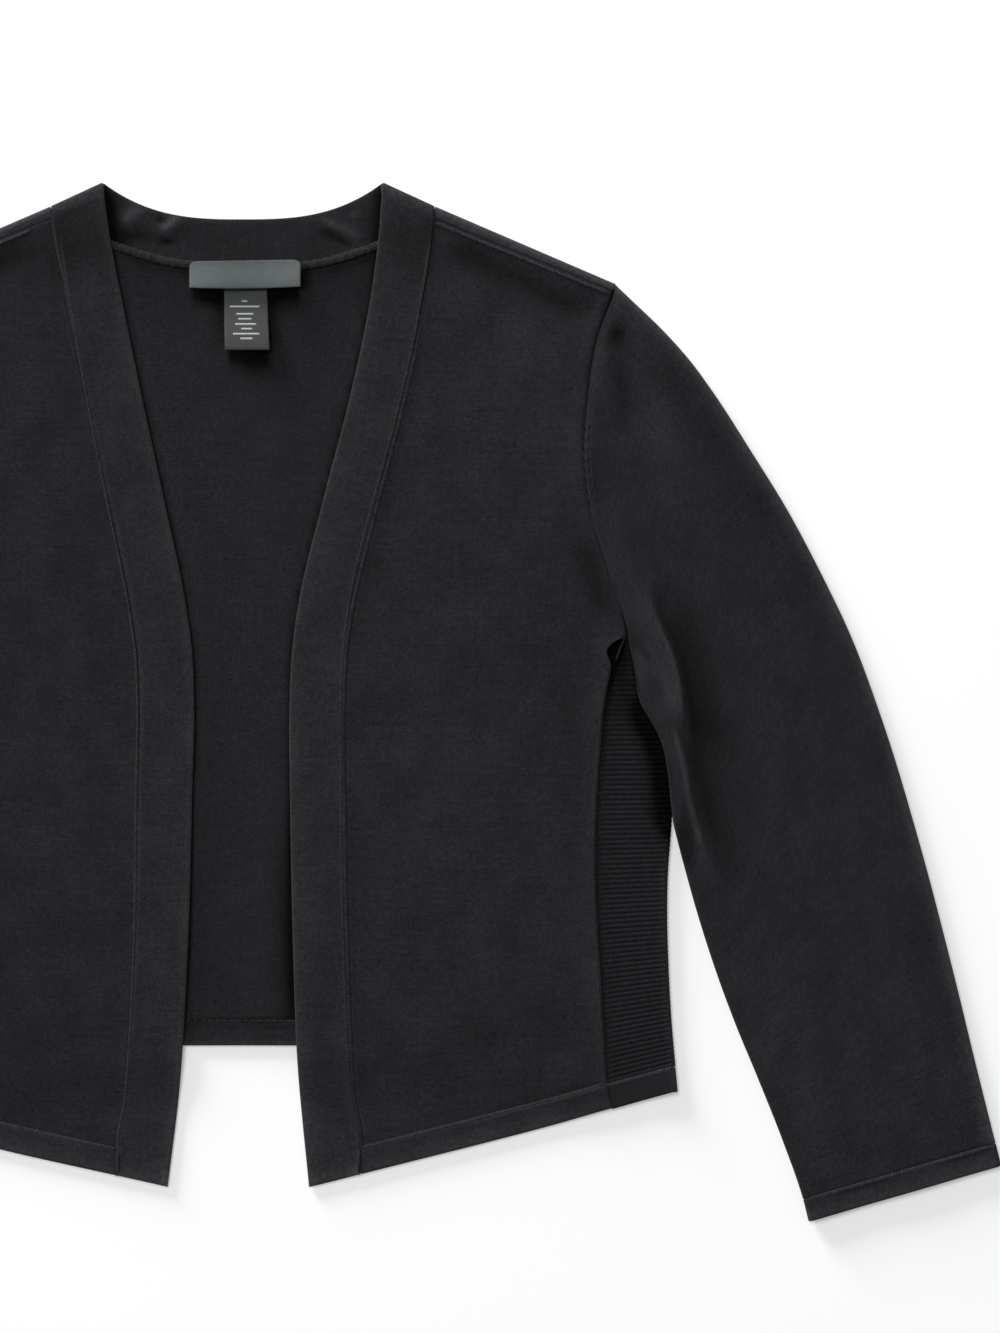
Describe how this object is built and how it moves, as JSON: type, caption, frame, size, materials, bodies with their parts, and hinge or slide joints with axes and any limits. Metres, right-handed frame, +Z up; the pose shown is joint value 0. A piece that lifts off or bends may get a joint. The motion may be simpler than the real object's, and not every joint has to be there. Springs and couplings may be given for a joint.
{
  "type": "cropped cardigan",
  "caption": "Open-front cropped cardigan in fine black knit, laid flat: wide front band round the neck, ribbed side panels, bracelet-length sleeves and turned hems.",
  "frame": {"origin": "on the surface that the garment lies on, under the middle of its box", "axes": "+X towards the sleeve on the viewer's right, +Y towards the neck, +Z up from the surface, out of the front"},
  "size_m": [0.8032, 0.5502, 0.0116],
  "materials": {
    "knit": "fine-gauge jersey knit, matt black with a faint nap",
    "band_knit": "double fine-gauge knit, matt black",
    "rib": "rib knit with level ribs 2.6 mm apart, matt black",
    "label": "woven satin, grey, with no lettering",
    "tag": null
  },
  "bodies": {
    "root": {"back_panel": "knit", "hem_back": "band_knit", "front_panel_r": "knit", "front_panel_l": "knit", "hem_front_r": "band_knit", "hem_front_l": "band_knit", "side_panel_r": "rib", "side_panel_l": "rib", "hem_side_r": "band_knit", "hem_side_l": "band_knit", "sleeve_r": "knit", "sleeve_l": "knit", "cuff_r": "band_knit", "cuff_l": "band_knit", "front_band_r": "band_knit", "front_band_l": "band_knit", "neckband": "band_knit", "neck_label": "label", "size_tag": "tag"}
  },
  "joints": []
}
